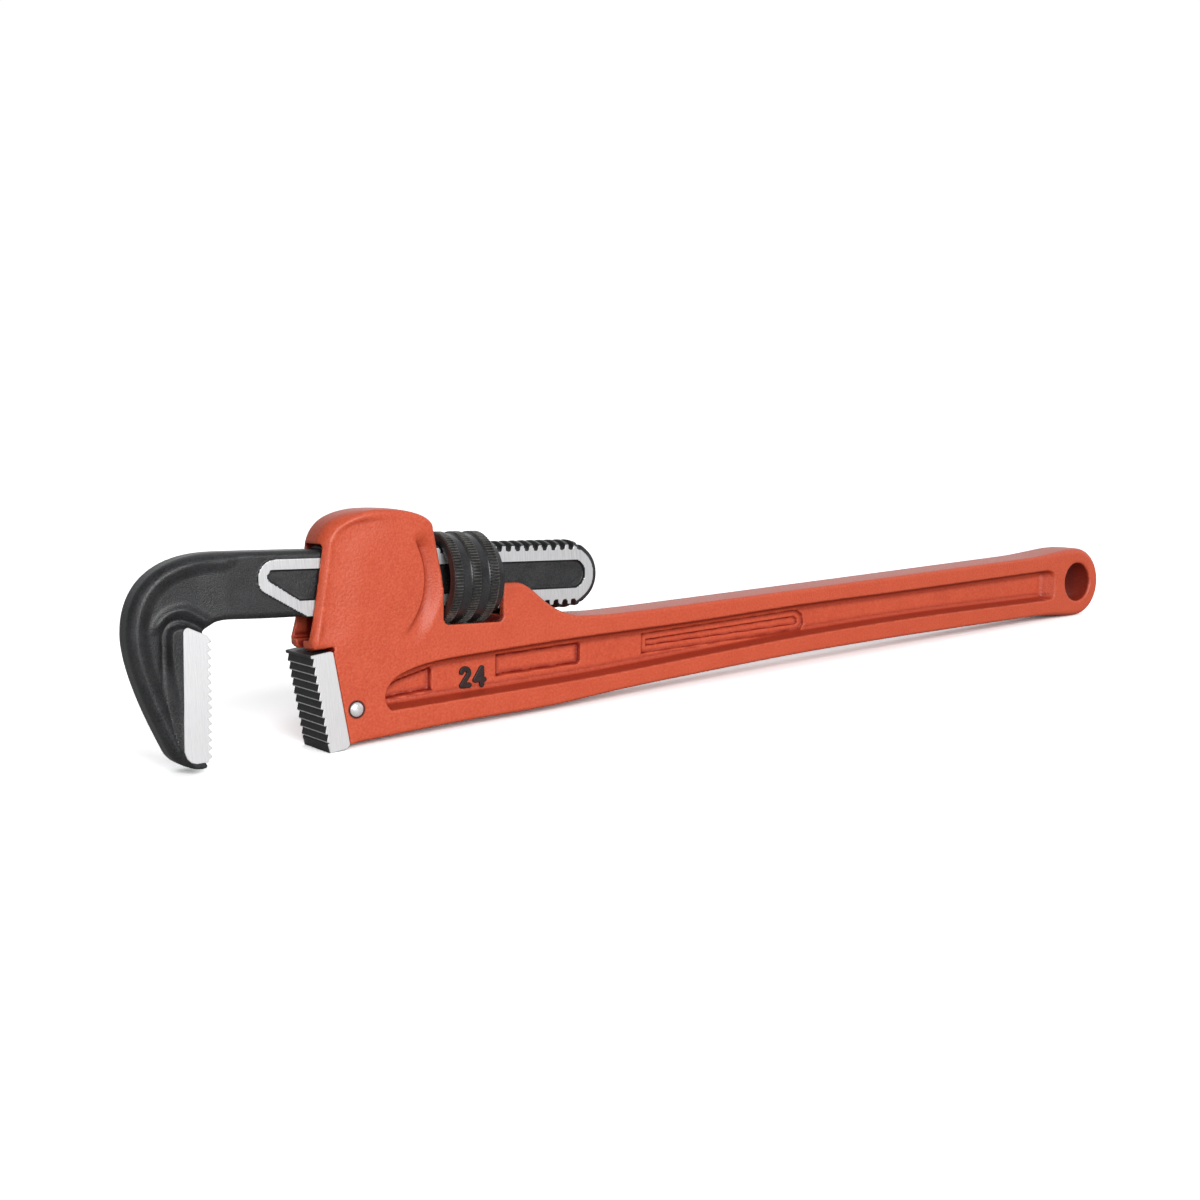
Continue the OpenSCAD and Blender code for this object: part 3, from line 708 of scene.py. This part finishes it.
hook_back = np.vstack([
    bend((-112, 14.9), (-138, 14.9), (-151, 2), (-151, -18)),
    bend((-151, -18), (-151, -34), (-139, -58), (-134, -68))[1:],
    bend((-134, -68), (-131.5, -72), (-127, -74.6), (-121, -74.4))[1:],
])
hook_outline = np.vstack([
    hook_back, [[-119.6, -74.0], [-119.4, -73]], [[-120.6, -71], [-120.6, -20]],
    bend((-120.2, -18.6), (-118.4, -15.5), (-114, -13.5), (-108, -13.5), 12),
    [[-92, -13.8], [-60, -13.8], [-60, 14.9]],
])
arch = flow([
    (-140, -18), (-138.3, -13.5), (-136, -10.9), (-132.3, -8.9), (-127.6, -8.4), (-123, -10.4),
    (-116.2, -15)], 6)
hollow_line = flow([
    (-136.6, -42), (-136.5, -24.6), (-136.3, -17.3), (-134.3, -13.9), (-129.2, -12.5), (-124.5, -14),
    (-117.5, -18.3)], 6)
boss_outline = np.array([
    (-135.2, -80), (-135.2, -18.4), (-134.6, -16.3), (-133, -14.9), (-130.5, -14.2), (-127, -14.6),
    (-118, -18.6), (-108, -24), (-108, -80)])
shank_end = np.vstack([
    [[-99, 17.5]], bend((62, 17.5), (67, 14.5), (77.6, 11), (77.6, 0)),
    bend((77.6, 0), (77.6, -11), (67, -14.5), (62, -17.5))[1:], [[-99, -17.5]],
])
plateau = np.vstack([
    [[100, -25], [-66, -25], [-66, -14]],
    bend((-74, -14), (-82, -9.2), (-90, -4.8), (-94.4, -2.2), 10),
    bend((-94.4, -2.2), (-98.4, 2), (-96, 11.4), (-88, 11.6))[1:],
    [[-66, 11.6], [-66, 25], [100, 25]],
])
recess = np.vstack([
    [[-76.6, -6.2], [-79, -5], [-91, 2.6], [-91.6, 4.6], [-90, 6.6]], arc((64, 0.2), 6.4, 90, -90),
])
thread_pitch, crest_r, root_r, first_groove = 5.0, 16.4, 14.2, -63.0
web_half, arm_more, rim_half, boss_half = 6.4, 0.7, 8.6, 9.3
ridge_h, ridge_w, sink_d, sink_w = 1.35, 1.9, 0.85, 1.3
pulled_in = 0.06  # keeps the hook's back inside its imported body


def forging(x, y, z):
    """The hook and shank: below zero inside the steel."""
    w = np.abs(y)
    # hook: web, rim, boss behind the teeth and the arch over it
    side = away(hook_outline, x, z) + pulled_in
    depth = reach(hook_back, x, z)
    web_t = web_half + arm_more * ease(-124, -108, x)
    rim = (rim_half - web_t) * (1 - ease(2.6, 9.0, depth))
    rim = rim * (1 - 0.55 * ease(-126, -108, x)) * (1 - ease(-98, -86, x))
    lip = 0.08 * np.exp(-(((depth - 6.2) / 0.9) ** 2))
    rim = rim + lip * (1 - ease(-122, -112, x)) * ease(-40, -20, z)
    low = 1 - ease(-56, -24, z)
    boss = (boss_half - web_t) * (1 - ease(-1.9 - 5 * low, 0.2 + 0.6 * low, away(boss_outline, x, z)))
    ridge = ridge_h * np.exp(-((reach(arch, x, z) / ridge_w) ** 2)) * ease(-19, -13, z)
    sink = sink_d * np.exp(-((reach(hollow_line, x, z) / sink_w) ** 2)) * ease(-46, -26, z)
    lift = np.maximum(rim, boss) + ridge - sink
    near_teeth = ease(-128, -124, x) * (1 - ease(-17, -14, z))
    edge_r = 2.9 + 2.5 * (1 - ease(5, 14, depth)) * (1 - ease(-118, -96, x))
    edge_r = edge_r * (1 - near_teeth) + 0.7 * near_teeth
    hook = shared(side, w - web_t - lift, edge_r)
    # shank: flat ground sides, thread on the two narrow edges, round rear end
    blank = shared(away(shank_end, x, z), away(plateau, x, z), 0.3)
    chamfer = 0.3 * np.maximum(away(shank_end, x, z) + 2.3, 0) * ease(60, 66, x)
    flat = shared(blank, w - shank_half + chamfer, 0.35)
    r = np.hypot(y, z)
    angle = np.degrees(np.arctan2(z, y))
    turn = (x - first_groove) / thread_pitch - (angle - 90) / 360
    off = np.abs(turn - np.round(turn)) * thread_pitch
    groove = 1 - ease(0.75, 1.75, off)
    limit = crest_r - (crest_r - root_r) * groove * ease(-66, -64.5, x) * (1 - ease(68, 70, x))
    shank = shared(flat, (r - limit) * 0.8, 0.3)
    steel = np.minimum(hook, shank)
    return cut(steel, shared(away(recess, x, z), recess_half - w, 0.5), 0.25)


points, faces, normals = skin(
    forging,
    stations((-152.6, -99, 0.66), (-99, -67, 0.6), (-67, 60, 0.62), (60, 79.3, 0.55)),
    stations((-9.9, 10.3, 0.6)),
    stations((-77.9, -17.5, 0.7), (-17.5, 18.2, 0.55)),
)
hook_jaw = build("hook_jaw_forging", points, faces, [forged], normals)
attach(hook_jaw, "hook_jaw")
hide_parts("hook_jaw")

# ------------------------------------------------------------------ hook jaw teeth
# Fifteen raked teeth are milled in the hook's face, biting the other way from the heel
# jaw's. The block's two sides are then ground vertically, right up to the rounded corner.

hook_pitch, hook_count = 3.42, 15
root_x, tip_x, first_root = -119.2, -117.5, -19.2
tip_from, tip_to = 0.62, 0.72  # where a tip's land starts and ends, in pitches below its root
block_half, block_chamfer = 9.4, 0.22
hook_teeth = []
for i in range(hook_count):
    z = first_root - i * hook_pitch
    hook_teeth += [(root_x, z), (tip_x, z - tip_from * hook_pitch), (tip_x, z - tip_to * hook_pitch)]
block_back = [
    (-119.0, -71.6), (-124.2, -71.9), (-126.4, -71.2), (-128.2, -69.4), (-129.3, -66.4), (-129.3, -18.2)]
block_corner = arc((-127.0, -17.6), 2.3, 180, 95, 6).tolist()
block_profile = block_back + block_corner + [(root_x, -18.9)] + hook_teeth[1:] + [(-119.0, -70.6)]
points, faces, n = slab(block_profile, block_half, block_chamfer)
slots = [0] * (3 * n) + [1, 1]
for i in range(n):
    slots[i] = slots[2 * n + i] = 1
teeth = build("hook_jaw_teeth", points, faces, [jaw_black, ground], smooth=False, slots=slots)
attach(teeth, "hook_jaw")

# ------------------------------------------------------------------ adjusting nut
# Turned from bar in one piece: three knurled bands with two smooth grooves between them,
# a plain collar behind, and a thread inside that runs on the shank. Black oxide,
# oiled, with the knurl's crests rubbed lighter by the hand.

nut_r, knurl_h, groove_h, nut_sides, ridges = 21.33, 0.6, 1.05, 120, 90
bands = [(-8.9, -4.2), (0.0, 5.1), (9.3, 14.5)]
oxide, tree, shader = material("oiled_black_oxide", Metallic=0.5, IOR=1.5)
film = group(tree, grain, Grain_per_metre=1600.0, Waves_per_metre=130.0, Wave_share=0.4)
wear_and_shade = group(tree, edges, Edge_from=0.55, Edge_to=0.75, Hollow_from=0.46, Hollow_to=0.3)
tone = remap(tree, film.outputs["Height"], 0.35, 0.65)
dark = blend_colour(tree, tone, (0.028, 0.028, 0.030, 1), (0.060, 0.060, 0.063, 1))
worn_edge = math_node(tree, "MULTIPLY", wear_and_shade.outputs["Edge"], 0.7)
dark = blend_colour(tree, worn_edge, dark, (0.17, 0.165, 0.15, 1))
tree.links.new(dark, shader.inputs["Base Color"])
tree.links.new(remap(tree, film.outputs["Tone"], 0.3, 0.7, 0.24, 0.36), shader.inputs["Roughness"])
bump(tree, shader, film.outputs["Height"], 0.15, 0.00012)

bed, smooth_r = nut_r - knurl_h, nut_r - groove_h
profile = [
    (-8.9, 16.7), (-8.9, 20.2), (-8.75, 20.5), (-8.4, bed),
    (-4.55, bed), (-4.2, bed - 0.1), (-3.75, smooth_r), (-0.45, smooth_r), (0.0, bed - 0.1),
    (0.35, bed), (4.75, bed), (5.1, bed - 0.1), (5.55, smooth_r), (8.85, smooth_r), (9.3, bed - 0.1),
    (9.65, bed), (13.9, bed), (14.5, 20.3), (15.0, 19.9), (15.3, 17.9), (15.6, 17.6), (18.4, 17.4),
    (18.8, 17.2), (18.8, 16.9), (18.6, 16.75), (-8.75, 16.6), (-8.9, 16.7),
]
points, faces = revolve(profile, nut_sides)
count = len(points) - nut_sides  # the profile closes on itself, so its last ring is its first
faces = [[v % count for v in f] for f in faces]
nut = build("adjusting_nut_body", points[:count], faces, [oxide])
nut.data.set_sharp_from_angle(angle=math.radians(28))
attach(nut, "nut")
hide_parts("adjusting_nut")

crest, tree, shader = material("rubbed_knurl_crest", Metallic=0.8)
rub = group(tree, grain, Grain_per_metre=700.0, Waves_per_metre=160.0, Wave_share=0.5)
shade(tree, shader, rub.outputs["Height"], 0.35, 0.65, (0.07, 0.068, 0.064), (0.20, 0.195, 0.18))
tree.links.new(remap(tree, rub.outputs["Tone"], 0.3, 0.7, 0.3, 0.42), shader.inputs["Roughness"])

# One ridge of each band, then a ring of them: the knurl is rolled, so all are alike.
foot_half, crest_half, ridge_foot = 0.5, 0.2, bed - 0.25
ridge_gap, ridge_slope = 0.12, 0.35
verts, ridge_faces = [], []
for a, b in bands:
    s = len(verts)
    for x, dx in ((a + ridge_gap, ridge_slope), (b - ridge_gap, -ridge_slope)):
        verts += [(x, -foot_half, ridge_foot), (x, foot_half, ridge_foot)]
        verts += [(x + dx, crest_half, nut_r), (x + dx, -crest_half, nut_r)]
    ridge_faces += [
        (s, s + 1, s + 2, s + 3), (s + 7, s + 6, s + 5, s + 4), (s, s + 4, s + 5, s + 1),
        (s + 1, s + 5, s + 6, s + 2), (s + 2, s + 6, s + 7, s + 3), (s + 3, s + 7, s + 4, s),
    ]
mesh = bpy.data.meshes.new("knurl_ridge")
mesh.from_pydata(verts, [], ridge_faces)
knurl = bpy.data.objects.new("adjusting_nut_knurl", mesh)
bpy.context.scene.collection.objects.link(knurl)

ring = bpy.data.node_groups.new("knurl_ring", "GeometryNodeTree")
sockets(
    ring, Ridge=("INPUT", "Geometry", None), Ridges=("INPUT", "Int", 90),
    Finish=("INPUT", "Material", None), Geometry=("OUTPUT", "Geometry", None),
)
r_in, r_out = ring.nodes.new("NodeGroupInput"), ring.nodes.new("NodeGroupOutput")
seats = add(ring, "GeometryNodeMeshLine", {
    "Count": r_in.outputs["Ridges"], "Offset": (0, 0, 0)}, mode="OFFSET")
number = add(ring, "GeometryNodeInputIndex").outputs[0]
spin = math_node(ring, "MULTIPLY", math_node(ring, "DIVIDE", number, r_in.outputs["Ridges"]), 2 * math.pi)
aim = add(ring, "ShaderNodeCombineXYZ", {"X": spin})
many = add(ring, "GeometryNodeInstanceOnPoints", {
    "Points": seats.outputs[0], "Instance": r_in.outputs["Ridge"], "Rotation": aim.outputs[0]})
real = add(ring, "GeometryNodeRealizeInstances", {"Geometry": many.outputs[0]})
dressed = add(ring, "GeometryNodeSetMaterial", {
    "Geometry": real.outputs[0], "Material": r_in.outputs["Finish"]})
ring.links.new(dressed.outputs[0], r_out.inputs[0])


def grown(piece, tree, **inputs):
    """Runs a Geometry Nodes tree on a piece and keeps the result as a plain mesh."""
    modifier = piece.modifiers.new("grow", "NODES")
    modifier.node_group = tree
    for item in tree.interface.items_tree:
        name = item.name.replace(" ", "_")
        if item.item_type == "SOCKET" and item.in_out == "INPUT" and name in inputs:
            modifier[item.identifier] = inputs[name]
    bpy.context.view_layer.update()
    seen = piece.evaluated_get(bpy.context.evaluated_depsgraph_get())
    result = bpy.data.meshes.new_from_object(seen)
    piece.modifiers.clear()
    piece.data = result
    co = np.array([v.co for v in result.vertices], float).reshape(-1, 3)
    result.vertices.foreach_set("co", placed(co).astype(np.float32).ravel())
    result.update()


grown(knurl, ring, Ridges=ridges, Finish=crest)
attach(knurl, "nut")

# The thread inside is one rib, in step with the shank's grooves.
steps, turns_in, lead = 48, 5.5, -8.0  # stations a turn, turns, and where it starts
rib_tip, rib_foot, tip_half, base_half = root_r + 0.4, 16.95, 0.5, 1.1
section = ((-tip_half, rib_tip), (tip_half, rib_tip), (base_half, rib_foot), (-base_half, rib_foot))
phase = 2 * math.pi * (lead - first_groove) / thread_pitch + math.pi / 2
rib, rib_faces = [], []
for i in range(int(steps * turns_in) + 1):
    a, x = phase + 2 * math.pi * i / steps, lead + i * thread_pitch / steps
    for off, r in section:
        rib.append((x + off, r * math.cos(a), r * math.sin(a)))
    if i:
        b = 4 * (i - 1)
        rib_faces += [[b + k, b + (k + 1) % 4, b + 4 + (k + 1) % 4, b + 4 + k] for k in range(4)]
rib_faces = [f[::-1] for f in rib_faces] + [[0, 1, 2, 3], [len(rib) - 1 - k for k in range(4)]]
inner_thread = build("adjusting_nut_thread", rib, rib_faces, [oxide], smooth=False)
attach(inner_thread, "nut")

# ------------------------------------------------------------------ springs
# A flat spring lies under the shank, loose on a rivet in the slot's floor, and a coil
# spring in a pocket under it pushes the shank up, so that the hook jaw rocks and lets go.

sprung, tree, shader = material("blued_spring_steel", Metallic=0.8)
blue = group(tree, grain, Grain_per_metre=1400.0, Waves_per_metre=200.0, Wave_share=0.5)
shade(tree, shader, blue.outputs["Tone"], 0.35, 0.65, (0.035, 0.036, 0.042), (0.09, 0.09, 0.10))
tree.links.new(remap(tree, blue.outputs["Height"], 0.3, 0.7, 0.28, 0.42), shader.inputs["Roughness"])
bump(tree, shader, blue.outputs["Height"], 0.2, 0.0001)
for name, finish, slot in (("flat_spring", sprung, "spring_steel"), ("spring_rivet", bright, "pin_steel")):
    node = frame["nodes"][name]
    node.data.materials.clear()
    node.data.materials.append(finish)

coil_r, wire_r, coil_turns, coil_low, coil_high = 4.4, 0.65, 5.0, -34.25, -19.0
coil_tree = bpy.data.node_groups.new("coil_spring", "GeometryNodeTree")
sockets(
    coil_tree, Turns=("INPUT", "Float", 5.0), Coil_radius=("INPUT", "Float", 4.4),
    Length=("INPUT", "Float", 15.0), Wire_radius=("INPUT", "Float", 0.65),
    Finish=("INPUT", "Material", None), Geometry=("OUTPUT", "Geometry", None),
)
c_in, c_out = coil_tree.nodes.new("NodeGroupInput"), coil_tree.nodes.new("NodeGroupOutput")
helix = add(coil_tree, "GeometryNodeCurveSpiral", {
    "Resolution": 28, "Rotations": c_in.outputs["Turns"], "Start Radius": c_in.outputs["Coil radius"],
    "End Radius": c_in.outputs["Coil radius"], "Height": c_in.outputs["Length"]})
wire = add(coil_tree, "GeometryNodeCurvePrimitiveCircle", {
    "Resolution": 10, "Radius": c_in.outputs["Wire radius"]})
swept = add(coil_tree, "GeometryNodeCurveToMesh", {
    "Curve": helix.outputs[0], "Profile Curve": wire.outputs[0], "Fill Caps": True})
rounded = add(coil_tree, "GeometryNodeSetShadeSmooth", {"Geometry": swept.outputs[0]})
moved = add(coil_tree, "GeometryNodeTransform", {
    "Geometry": rounded.outputs[0], "Translation": (coil_x, 0, coil_low)})
plain = add(coil_tree, "GeometryNodeRealizeInstances", {"Geometry": moved.outputs[0]})
dressed = add(coil_tree, "GeometryNodeSetMaterial", {
    "Geometry": plain.outputs[0], "Material": c_in.outputs["Finish"]})
coil_tree.links.new(dressed.outputs[0], c_out.inputs[0])
coil = bpy.data.objects.new("coil_spring_wire", bpy.data.meshes.new("coil_spring_wire"))
bpy.context.scene.collection.objects.link(coil)
grown(
    coil, coil_tree, Turns=coil_turns, Coil_radius=coil_r, Length=coil_high - coil_low,
    Wire_radius=wire_r, Finish=sprung)
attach(coil, "handle")
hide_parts("coil_spring")
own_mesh(coil)

# ------------------------------------------------------------------ floor, light, camera
# A pale paper floor and three lights: a broad soft key in front, a box before the head and
# a tall box far to the left. The room is brighter beyond the tool than behind the camera.

lowest = cad_box[0].z
floor_mesh = bpy.data.meshes.new("floor")
floor_corners = [(-9, -9, lowest), (9, -9, lowest), (9, 12, lowest), (-9, 12, lowest)]
floor_mesh.from_pydata(floor_corners, [], [(0, 1, 2, 3)])
floor = bpy.data.objects.new("floor", floor_mesh)
bpy.context.scene.collection.objects.link(floor)
paper, tree, shader = material("pale_paper", Specular_IOR_Level=0.0, Roughness=1.0)
fibre = group(tree, grain, Grain_per_metre=40.0, Waves_per_metre=2.0, Wave_share=0.5)
# Looked at directly the paper is burnt out to white, but it throws less light back up.
tone = remap(tree, fibre.outputs["Tone"], 0.3, 0.7)
seen = blend_colour(tree, tone, (1.97, 1.97, 1.98, 1), (2.0, 2.0, 2.0, 1))
direct = add(tree, "ShaderNodeLightPath").outputs["Is Camera Ray"]
tree.links.new(blend_colour(tree, direct, (0.42, 0.42, 0.42, 1), seen), shader.inputs["Base Color"])
floor.data.materials.append(paper)

world = bpy.data.worlds.new("studio")
bpy.context.scene.world = world
world.use_nodes = True
tree = world.node_tree
tree.nodes.clear()
look = add(tree, "ShaderNodeTexCoord").outputs["Generated"]
beyond = add(tree, "ShaderNodeVectorMath", {
    0: look, 1: (0.84, 0.52, 0.15)}, operation="DOT_PRODUCT").outputs["Value"]
glow = remap(tree, beyond, 0.15, 0.85, 0.2, 1.0)
seen = add(tree, "ShaderNodeBackground", {"Color": (1, 1, 1, 1), "Strength": 1.05})
lit = add(tree, "ShaderNodeBackground", {"Color": (0.98, 0.99, 1, 1), "Strength": glow})
direct = add(tree, "ShaderNodeLightPath").outputs["Is Camera Ray"]
both = add(tree, "ShaderNodeMixShader", {0: direct, 1: lit.outputs[0], 2: seen.outputs[0]})
add(tree, "ShaderNodeOutputWorld", {"Surface": both.outputs[0]})


def lamp(name, kind, energy, at, aim, **more):
    """A light at one place, turned to face another."""
    data = bpy.data.lights.new(name, kind)
    data.energy = energy
    for key, value in more.items():
        setattr(data, key, value)
    made = bpy.data.objects.new(name, data)
    made.location = at
    made.rotation_euler = (Vector(aim) - Vector(at)).to_track_quat("-Z", "Y").to_euler()
    bpy.context.scene.collection.objects.link(made)


lamp("key", "SUN", 2.2, (-0.15, -1.75, 0.62), (0, 0, 0), angle=math.radians(38))
lamp(
    "head_box", "AREA", 2.0, (-0.62, -0.85, 0.36), (-0.42, 0, 0.02),
    shape="RECTANGLE", size=0.5, size_y=0.4)
lamp(
    "left_box", "AREA", 6.5, (-2.3, -1.15, 0.6), (-0.55, 0, 0.0),
    shape="RECTANGLE", size=0.2, size_y=1.2)

camera_data = bpy.data.cameras.new("camera")
camera_data.lens, camera_data.sensor_width = 46.06, 36.0
camera_data.clip_start, camera_data.clip_end = 0.02, 60
camera = bpy.data.objects.new("camera", camera_data)
camera.location = (-0.7841, -0.6114, 0.1239)
right, over = (0.8132, -0.5803, -0.0454), (0.1111, 0.0782, 0.9907)
back = (-0.5713, -0.8107, 0.1281)
camera.rotation_mode = "QUATERNION"
camera.rotation_quaternion = Matrix((right, over, back)).transposed().to_quaternion()
bpy.context.scene.collection.objects.link(camera)
bpy.context.scene.camera = camera
bpy.context.scene.view_settings.view_transform = "Standard"
